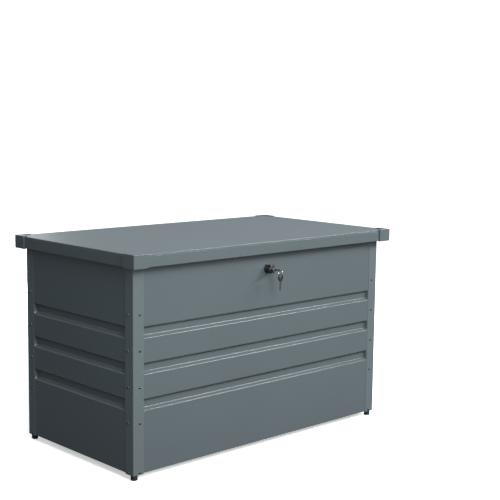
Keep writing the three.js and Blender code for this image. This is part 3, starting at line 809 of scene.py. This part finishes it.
def hinge(where, x):
    half, split, leaf = HINGE["half"], HINGE["split"], HINGE["leaf"]
    y, z = HINGE["y"] + SHIFT, HINGE["z"]
    wall = box_mm("back_panel")[1].y + 0.3
    body, lid = bmesh.new(), bmesh.new()
    bottom, rim = (z + level for level in HINGE["wall_leaf"])
    slab(body, (x - half, wall, bottom), (x + half, wall + leaf, rim), "y", 3)
    web = [(wall, rim - 3), (wall + leaf, rim - 3, 1.5), (y + 2, z - 3.9), (y - 1, z - 1),
           (wall, rim, 2)]
    for x0, x1 in ((x - half, x - split - 0.15), (x + split + 0.15, x + half)):
        prism(body, rounded(web), "x", x0, x1)
        knuckle(body, x0, x1, y, z)
    top = box_mm("lid_liner")[0].z - 0.3
    near, far = (y + out for out in HINGE["lid_leaf"])
    slab(lid, (x - half, near, top - leaf), (x + half, far, top), "z", 3)
    slab(lid, (x - split + 0.15, y - 3, z + 3.6), (x + split - 0.15, y + 3, top - 1), "x", 0.4)
    knuckle(lid, x - split + 0.15, x + split - 0.15, y, z)
    soften(piece(f"hinge_body_leaf_{where}_plate", body, (ANTHRACITE,), "box",
                 f"hinge_body_leaf_{where}", slot="anthracite_coat"), 0.3)
    soften(piece(f"hinge_lid_leaf_{where}_plate", lid, (ANTHRACITE,), "lid",
                 f"hinge_lid_leaf_{where}", slot="anthracite_coat"), 0.3)

    pin = bmesh.new()
    r, end = HINGE["pin"], half + 0.3
    head = [(3.6, 0), (3.4, 0.7), (2.6, 1.1), (0, 1.2)]
    shaft = [(radius, x - end - out) for radius, out in reversed(head)]
    shaft += [(r, x - end), (r, x + end)]
    shaft += [(radius, x + end + out) for radius, out in head]
    lathe(pin, shaft, "x", (y, z), 28)
    piece(f"hinge_pin_{where}_turned", pin, (STEEL,), "lid", f"hinge_pin_{where}",
          slot="plain_steel")

    wall_screws, lid_screws = bmesh.new(), bmesh.new()
    for step in (-1, 0, 1):
        across = x + step * HINGE["screw_spacing"]
        seat = Matrix.Translation((across, wall + leaf, bottom + 8))
        screw(wall_screws, seat @ facing("y", 1), *SMALL_SCREW)
        seat = Matrix.Translation((across, near + 7, top - leaf))
        screw(lid_screws, seat @ facing("z", -1), *SMALL_SCREW)
    piece(f"hinge_wall_screws_{where}", wall_screws, (STEEL,), "box", slot="plain_steel",
          flip_check=False)
    piece(f"hinge_lid_screws_{where}", lid_screws, (STEEL,), "lid", slot="plain_steel",
          flip_check=False)


for place, offset in (("left", -420), ("middle", 0), ("right", 420)):
    hinge(place, offset)

# ---- gas struts

STRUT = {"x": 540, "upper": (-50, 680), "lower": (200, 620), "rod": 4, "ball": 5, "ball_out": 11.3}
TUBE = {"radius": 9, "bore": 7.4, "start": 20.3, "end": 205, "neck": 4.4,
        "label": (46, 118)}
SOCKET = {"radius": 7.5, "half": 6, "collar": 5.5, "end": 20}
BRACKET_OUT = 30.7  # from a strut's own plane to the end wall


def stud(bm, x_ball, x_root, y, z):
    """A ball stud: a ball, a waist and a flanged root, turned about x."""
    r, step = STRUT["ball"], 1 if x_root > x_ball else -1
    profile = [(r * math.sin(math.radians(a)), x_ball - step * r * math.cos(math.radians(a)))
               for a in range(0, 145, 12)]
    profile += [(2.6, x_ball + step * 5.2), (3, x_root - step * 3), (5.5, x_root - step * 2.8),
                (5.5, x_root), (0, x_root)]
    lathe(bm, profile, "x", (y, z), 32)


def strut(side, sign):
    (y0, z0), (y1, z1) = STRUT["upper"], STRUT["lower"]
    y0, y1 = y0 + SHIFT, y1 + SHIFT
    length = math.hypot(y1 - y0, z1 - z0)
    tilt = math.atan2(z1 - z0, y1 - y0)
    along = Matrix.Translation((sign * STRUT["x"], y0, z0)) @ Matrix.Rotation(tilt, 4, "X")
    tube_body, rod_body = f"strut_tube_{side}", f"strut_rod_{side}"

    r, bore, start, end, neck = (TUBE[k] for k in ("radius", "bore", "start", "end", "neck"))
    tube = bmesh.new()
    lathe(tube, [(0, start), (r - 3, start), (r - 1.2, start + 0.8), (r, start + 3), (r, end - 17),
                 (r - 0.5, end - 15.8), (r - 0.5, end - 14.2), (r, end - 13), (r, end - 3),
                 (r - 0.9, end - 0.9), (r - 2.6, end), (neck, end), (neck, end - 8),
                 (bore, end - 8), (bore, start + 10), (0, start + 10)], "y", segments=48)
    piece(f"strut_tube_{side}_turned", tube, (STRUT_BLACK,), tube_body, f"strut_tube_{side}",
          slot="strut_black", matrix=along)
    label = bmesh.new()
    under, over = r + 0.02, r + 0.14
    first, last = TUBE["label"]
    hoop(label, [(under, first), (over, first + 0.1), (over, last - 0.1), (under, last)], "y",
         segments=48)
    piece(f"strut_label_{side}", label, (LABEL,), tube_body, slot="strut_black", matrix=along)

    rod = bmesh.new()
    shaft = STRUT["rod"]
    lathe(rod, [(0, 60), (6.6, 60), (7, 60.4), (7, 67.6), (6.6, 68), (shaft, 68),
                (shaft, length - 20.3), (0, length - 20.3)], "y", segments=32)
    piece(f"strut_rod_{side}_turned", rod, (POLISHED_ROD,), rod_body, f"strut_rod_{side}",
          slot="polished_rod", matrix=along)

    cup_r, half, collar, out = SOCKET["radius"], SOCKET["half"], SOCKET["collar"], SOCKET["end"]
    mouth = STRUT["ball"] + 0.3
    cup = [(0, -half - 1.5), (cup_r - 1, -half - 1.5), (cup_r, -half - 0.5), (cup_r, half - 0.8),
           (cup_r - 0.8, half), (mouth + 0.3, half), (mouth, half - 0.4), (mouth, -mouth),
           (0, -mouth)]
    plug = [(0, -half), (cup_r - 1, -half), (cup_r, 1 - half), (cup_r, half - 1), (cup_r - 1, half),
            (0, half)]
    for level, profile, at, turned, body in (("upper", cup, 0, 1, tube_body),
                                             ("lower", plug, length, -1, rod_body)):
        bm = bmesh.new()
        lathe(bm, [(radius, sign * x) for radius, x in profile], "x", (at, 0), 36)
        steps = [(0, 6.2), (collar, 6.2), (collar, 12), (collar - 0.7, 12.6), (collar - 0.7, 14),
                 (collar, 14.6), (collar, out - 0.7), (collar - 0.7, out), (0, out)]
        lathe(bm, [(radius, at + turned * s) for radius, s in steps], "y", segments=28)
        piece(f"strut_{level}_socket_{side}_moulded", bm, (BLACK_PLASTIC,), body,
              f"strut_{level}_socket_{side}", slot="black_plastic", matrix=along)

    here = Matrix.Translation((sign * STRUT["x"], 0, 0))
    top = box_mm("lid_liner")[0].z - 0.3
    upper = bmesh.new()
    outward_slab(upper, sign, (-8, y0 - 20, top - 2), (15, y0 + 20, top), "z", 3)
    outward_slab(upper, sign, (13, y0 - 9, z0 - 9), (15, y0 + 9, top - 1), "x", 6)
    outward_slab(upper, sign, (13, y0 - 9, z0 + 4), (15, y0 + 9, top - 1), "x")
    stud(upper, 0, sign * 13.5, y0, z0)
    soften(piece(f"strut_upper_bracket_{side}_pressed", upper, (YELLOW_ZINC,), "lid",
                 f"strut_upper_bracket_{side}", slot="yellow_zinc", matrix=here), 0.4)
    lower = bmesh.new()
    outward_slab(lower, sign, (BRACKET_OUT - 2, y1 - 18, z1 - 14),
                 (BRACKET_OUT, y1 + 18, z1 + 14), "x", 5)
    stud(lower, sign * STRUT["ball_out"], sign * (BRACKET_OUT - 1.5), y1, z1)
    soften(piece(f"strut_lower_bracket_{side}_pressed", lower, (YELLOW_ZINC,), "box",
                 f"strut_lower_bracket_{side}", slot="yellow_zinc", matrix=here), 0.4)

    lid_screws, wall_screws = bmesh.new(), bmesh.new()
    for dy in (-14, 14):
        seat = Matrix.Translation((sign * 3, y0 + dy, top - 2))
        screw(lid_screws, seat @ facing("z", -1), *BRACKET_SCREW)
        seat = Matrix.Translation((sign * (BRACKET_OUT - 2), y1 + dy * 0.9, z1))
        screw(wall_screws, seat @ facing("x", -sign), *BRACKET_SCREW)
    piece(f"strut_lid_screws_{side}", lid_screws, (YELLOW_ZINC,), "lid", slot="yellow_zinc",
          matrix=here, flip_check=False)
    piece(f"strut_wall_screws_{side}", wall_screws, (YELLOW_ZINC,), "box", slot="yellow_zinc",
          matrix=here, flip_check=False)


for place, direction in SIDES:
    strut(place, direction)

# ---- lock

KNOB = {"radius": 16.2, "lobes": 6, "lobe_depth": 1.4, "stem": 10}
BARREL_RADIUS = 7.5
CAM = {"width": 16, "reach": 42, "tail": 10, "square": 9.6}
NUT_RADIUS = 20


def lobed(radius, angle):
    """Scallops that fade out towards the middle of the knob."""
    swell = KNOB["lobe_depth"] * (math.cos(KNOB["lobes"] * angle) - 0.6)
    share = max(0.0, (radius - 11) / (KNOB["radius"] - 11))
    return radius + swell * min(1.0, share)


def lock():
    x, z = LOCK_AT
    lo, hi = box_mm("lock_knob")
    grip_end = lo.y + 21.4
    stem_end = hi.y - 3.7
    barrel_lo, barrel_hi = box_mm("lock_barrel")
    r, stem, bore = KNOB["radius"], KNOB["stem"], BARREL_RADIUS + 0.3
    knob = bmesh.new()
    bottom, face = barrel_hi.y + 0.3, lo.y
    lathe(knob, [(0, bottom), (bore, bottom), (bore, face + 1.0), (bore + 0.8, face + 0.4),
                 (bore + 2.2, face + 0.4), (bore + 2.8, face), (r - 2.6, face),
                 (r - 1.3, face + 0.4), (r - 0.4, face + 1.4), (r, face + 2.8),
                 (r - 0.5, face + 12), (r - 0.2, grip_end - 3), (r, grip_end - 1.2),
                 (r - 0.5, grip_end - 0.3), (r - 1.4, grip_end),
                 (stem, grip_end), (stem, stem_end), (0, stem_end)], "y", LOCK_AT, 96, lobed)
    half = 4.5
    slab(knob, (x - half, stem_end - 1, z - half), (x + half, hi.y, z + half), "y", 0.4)
    piece("lock_knob_moulded", knob, (BLACK_PLASTIC,), "knob", "lock_knob", slot="black_plastic")

    front, back, b = barrel_lo.y, barrel_hi.y, BARREL_RADIUS
    barrel = bmesh.new()
    lathe(barrel, [(0, back), (b, back), (b, front + 0.9), (b - 0.3, front + 0.25),
                   (b - 0.9, front), (b - 1.5, front), (b - 1.6, front + 0.5),
                   (b - 1.9, front + 0.5), (b - 2.0, front + 0.1), (0, front + 0.1)],
          "y", LOCK_AT, 64)
    turned = piece("lock_barrel_turned", barrel, (CHROME,), "barrel", "lock_barrel", slot="chrome")
    keyway = bmesh.new()
    slab(keyway, (x - 4.6, front - 2, z - 1.5), (x + 4.6, front + 36, z + 1.5), "y", 0.3)
    cut_away(turned, keyway)
    even_shading(turned)

    lo, hi = box_mm("lock_housing")
    flange_end = lo.y + 3.5
    housing = bmesh.new()
    hoop(housing, [(10.3, lo.y), (15.4, lo.y), (16.4, lo.y + 0.5), (17, lo.y + 1.5),
                   (17, flange_end), (13, flange_end), (13, hi.y - 0.6), (12.4, hi.y),
                   (10.3, hi.y)], "y", LOCK_AT, 64)
    piece("lock_housing_moulded", housing, (BLACK_PLASTIC,), "box", "lock_housing",
          slot="black_plastic")

    lo, hi = box_mm("lock_nut")
    turns = [math.radians(degrees) for degrees in range(0, 360, 60)]
    hexagon = [(x + NUT_RADIUS * math.sin(t), z + NUT_RADIUS * math.cos(t)) for t in turns]
    nut = bmesh.new()
    pierced(nut, hexagon, circle(LOCK["hole"], 48, LOCK_AT), "y", lo.y, hi.y)
    soften(piece("lock_nut_milled", nut, (STEEL,), "box", "lock_nut", slot="plain_steel"), 0.6)

    lo, hi = box_mm("lock_cam")
    w, s = CAM["width"] / 2, CAM["square"] / 2
    bar = rounded([(x - w, z - CAM["tail"]), (x + w, z - CAM["tail"]), (x + w, z + CAM["reach"]),
                   (x - w, z + CAM["reach"])], w - 0.1, 10)
    square = [(x - s, z - s), (x + s, z - s), (x + s, z + s), (x - s, z + s)]
    cam = bmesh.new()
    pierced(cam, bar, square, "y", lo.y, hi.y)
    soften(piece("lock_cam_stamped", cam, (STEEL,), "knob", "lock_cam", slot="plain_steel"), 0.4)

    lo, hi = box_mm("lock_cam_screw")
    head = bmesh.new()
    screw(head, Matrix.Translation((x, hi.y - 3, z)) @ facing("y", 1), 7, 3)
    lathe(head, [(0, lo.y), (2.2, lo.y), (2.5, lo.y + 0.5), (2.5, hi.y - 3), (0, hi.y - 3)], "y",
          LOCK_AT, 24)
    piece("lock_cam_screw_turned", head, (STEEL,), "knob", "lock_cam_screw", slot="plain_steel")

    lo, hi = box_mm("lock_keeper")
    inner, front, back = hi.x - 2, lo.y + 12, hi.y - 12
    lip = [(lo.x + 4, lo.z, 0.5), (hi.x, lo.z, 2.4), (hi.x, hi.z - 1), (inner, hi.z - 1),
           (inner, lo.z + 2, 0.6), (lo.x + 4, lo.z + 2, 0.5)]
    keeper = bmesh.new()
    prism(keeper, rounded(lip), "y", front, back)
    slab(keeper, (lo.x, lo.y, hi.z - 2), hi, "z", 3)
    soften(piece("lock_keeper_bent", keeper, (STEEL,), "lid", "lock_keeper",
                 slot="plain_steel"), 0.3)
    screws = bmesh.new()
    for y in (lo.y + 6, hi.y - 6):
        screw(screws, Matrix.Translation((hi.x - 9, y, hi.z - 2)) @ facing("z", -1), *SMALL_SCREW)
    piece("lock_keeper_screws", screws, (STEEL,), "lid", slot="plain_steel", flip_check=False)


lock()

# ---- keys

KEY = {"head": 12, "thickness": 2.6, "hole": 4.6, "bridge": 3, "tang": 7}
BLADE = {"width": 8, "thickness": 2.2, "length": 34, "shoulder": 9, "pitch": 4}
BLADE_CUTS = (0, 1.4, 0.4, 1.8, 0.8, 1.5)
RING = {"radius": 9.8, "wire": 0.42, "turns": 2}


def key(prefix, body, matrix):
    """A key lying in the (x, y) plane: its head round the origin and its blade along +y."""
    r, half, hole = KEY["head"], KEY["thickness"] / 2, KEY["hole"]
    eye = (0, -r + KEY["bridge"] + hole)
    head = bmesh.new()
    pierced(head, circle(r - 0.8, 56), circle(hole + 0.3, 32, eye), "z", -half + 0.45, half - 0.45)
    hoop(head, [(r - 2.2, 0.7 - half), (r - 1.7, -half), (r - 0.7, -half), (r, 0.8 - half),
                (r, half - 0.8), (r - 0.7, half), (r - 1.7, half), (r - 2.2, half - 0.7)], "z",
         segments=64)
    hoop(head, [(hole, 0.5 - half), (hole + 0.4, -half), (hole + 0.8, -half),
                (hole + 1.1, 0.6 - half), (hole + 1.1, half - 0.6), (hole + 0.8, half),
                (hole + 0.4, half), (hole, half - 0.5)], "z", eye, 36)
    hub = BLADE["width"] / 2 + 1.5
    deep = BLADE["thickness"] / 2 + 1.4
    slab(head, (-hub, r - KEY["tang"] - 1.5, -deep), (hub, r + 0.1, deep), "z", 1.2)
    soften(piece(f"{prefix}_head_moulded", head, (BLACK_PLASTIC,), body, f"{prefix}_head",
                 slot="black_plastic", matrix=matrix), 0.35)

    w, start, tip = BLADE["width"] / 2, r + BLADE["shoulder"], r + BLADE["length"]
    outline = [(-w, r - KEY["tang"] + 3), (w, r - KEY["tang"] + 3), (w, start, 0.3)]
    for i, depth in enumerate(BLADE_CUTS):
        at = start + i * BLADE["pitch"] + 1
        outline += [(w - depth, at, 0.4), (w - depth, at + 1.4, 0.4)]
    outline += [(w - 3, tip, 0.5), (-w + 2, tip, 0.5), (-w, tip - 3, 1)]
    thick = BLADE["thickness"] / 2
    bm = bmesh.new()
    prism(bm, rounded(outline), "z", -thick, thick)
    blade = piece(f"{prefix}_blade_milled", bm, (CHROME,), body, f"{prefix}_blade", slot="chrome",
                  matrix=matrix)
    for face in (-1, 1):
        groove = bmesh.new()
        near, far = sorted((face * (thick - 0.55), face * (thick + 1)))
        slab(groove, (-w + 1.6, r + 1.5, near), (-w + 2.8, tip + 2, far), "y", 0.2)
        groove.transform(matrix)
        cut_away(blade, groove)
    soften(blade, 0.15)


def split_ring():
    """Two turns of wire, side by side, that swing in the key's eye."""
    lo, hi = box_mm("key_ring")
    x, y, z = (lo + hi) / 2
    r, wire, turns = RING["radius"], RING["wire"], RING["turns"]
    steps, sides = 72 * turns, 12
    bm = bmesh.new()
    rings = []
    for step in range(steps + 1):
        share = step / steps
        angle = 2 * math.pi * turns * share
        across = (2 * share - 1) * wire * 1.05
        ring = []
        for k in range(sides):
            around = 2 * math.pi * k / sides
            out = r + wire * math.cos(around)
            ring.append(bm.verts.new((x + across + wire * 0.9 * math.sin(around),
                                      y + out * math.sin(angle), z + out * math.cos(angle))))
        rings.append(ring)
    bridge(bm, rings)
    bm.faces.new(rings[0])
    bm.faces.new(rings[-1])
    piece("key_ring_split", bm, (CHROME,), "ring", "key_ring", slot="chrome")


def keys():
    lo = box_mm("key_head")[0]
    centre = (LOCK["x"], lo.y + KEY["head"], LOCK["z"])
    key("key", "key", Matrix.Translation(centre))
    lo, hi = box_mm("spare_key_head")
    hanging = Matrix.Translation((LOCK["x"], (lo.y + hi.y) / 2, hi.z - KEY["head"]))
    key("spare_key", "spare_key", hanging @ Matrix.Rotation(-math.pi / 2, 4, "X"))
    split_ring()


keys()

# ---- stage


def floor():
    bm = bmesh.new()
    reach = 14  # metres each way
    signs = ((-1, -1), (1, -1), (1, 1), (-1, 1))
    bm.faces.new([bm.verts.new((x * reach, y * reach, 0)) for x, y in signs])
    mesh = bpy.data.meshes.new("floor")
    bm.to_mesh(mesh)
    bm.free()
    nodes = Nodes("pale_floor")
    nodes.shader.inputs["Roughness"].default_value = 0.85
    nodes.shader.inputs["Specular IOR Level"].default_value = 0.1
    nodes.shader.inputs["Emission Color"].default_value = (1, 1, 1, 1)
    path = nodes.tree.nodes.new("ShaderNodeLightPath")
    seen = path.outputs["Is Camera Ray"]
    tone = nodes.blend(seen, (0.06, 0.06, 0.06), (0.9, 0.9, 0.9))
    nodes.link(tone, nodes.shader.inputs["Base Color"])
    distance = nodes.tree.nodes.new("ShaderNodeVectorMath")
    distance.operation = "LENGTH"
    nodes.link(nodes.coordinates, distance.inputs[0])
    glow = nodes.tree.nodes.new("ShaderNodeMath")
    glow.operation = "MULTIPLY"
    nodes.link(nodes.spread(distance.outputs["Value"], 0.45, 1.0, 0.8, 1.7), glow.inputs[0])
    nodes.link(seen, glow.inputs[1])
    nodes.link(glow.outputs[0], nodes.shader.inputs["Emission Strength"])
    mesh.materials.append(nodes.material)
    obj = bpy.data.objects.new("floor", mesh)
    bpy.context.scene.collection.objects.link(obj)


def area_light(name, position, target, size, power):
    data = bpy.data.lights.new(name, "AREA")
    data.shape = "RECTANGLE"
    data.size, data.size_y = size
    data.energy = power
    light = bpy.data.objects.new(name, data)
    light.location = position
    light.rotation_mode = "QUATERNION"
    light.rotation_quaternion = (Vector(target) - Vector(position)).to_track_quat("-Z", "Y")
    light.visible_camera = False
    bpy.context.scene.collection.objects.link(light)


def world():
    sky = bpy.data.worlds.new("studio")
    sky.use_nodes = True
    tree = sky.node_tree
    background = tree.nodes["Background"]
    background.inputs["Color"].default_value = (0.94, 1.04, 1.10, 1)
    background.inputs["Strength"].default_value = 0.43
    seen = tree.nodes.new("ShaderNodeBackground")
    seen.inputs["Color"].default_value = (1, 1, 1, 1)
    seen.inputs["Strength"].default_value = 1.05
    path = tree.nodes.new("ShaderNodeLightPath")
    mix = tree.nodes.new("ShaderNodeMixShader")
    tree.links.new(path.outputs["Is Camera Ray"], mix.inputs["Fac"])
    tree.links.new(background.outputs["Background"], mix.inputs[1])
    tree.links.new(seen.outputs["Background"], mix.inputs[2])
    tree.links.new(mix.outputs["Shader"], tree.nodes["World Output"].inputs["Surface"])
    bpy.context.scene.world = sky


MIDDLE = (0, 0, 0.35)
LAMPS = (  # name, position, target, size, watts
    ("front_left", (-0.9, -2.6, 1.2), MIDDLE, (0.8, 0.8), 30),
    ("high_front", (-0.6, -2.9, 2.7), MIDDLE, (2.4, 2.2), 115),
    ("key", (2.2, -2.6, 2.3), MIDDLE, (2.0, 0.3), 140),
    ("overhead", (0, 0, 3.2), MIDDLE, (3.0, 3.0), 12),
    ("right", (4.2, 0.3, 1.6), MIDDLE, (2.5, 2.0), 90),
    ("back", (0.5, 4.2, 1.8), MIDDLE, (3.0, 2.0), 14),
    ("back_low", (0.4, 3.4, 0.42), MIDDLE, (2.0, 0.5), 45),
    ("left", (-1.7, -0.5, 0.66), (-0.6, 0, 0.6), (0.3, 0.2), 1.7),
)


def studio():
    floor()
    world()
    for lamp in LAMPS:
        area_light(*lamp)
    bpy.context.scene.view_settings.view_transform = "Standard"


studio()
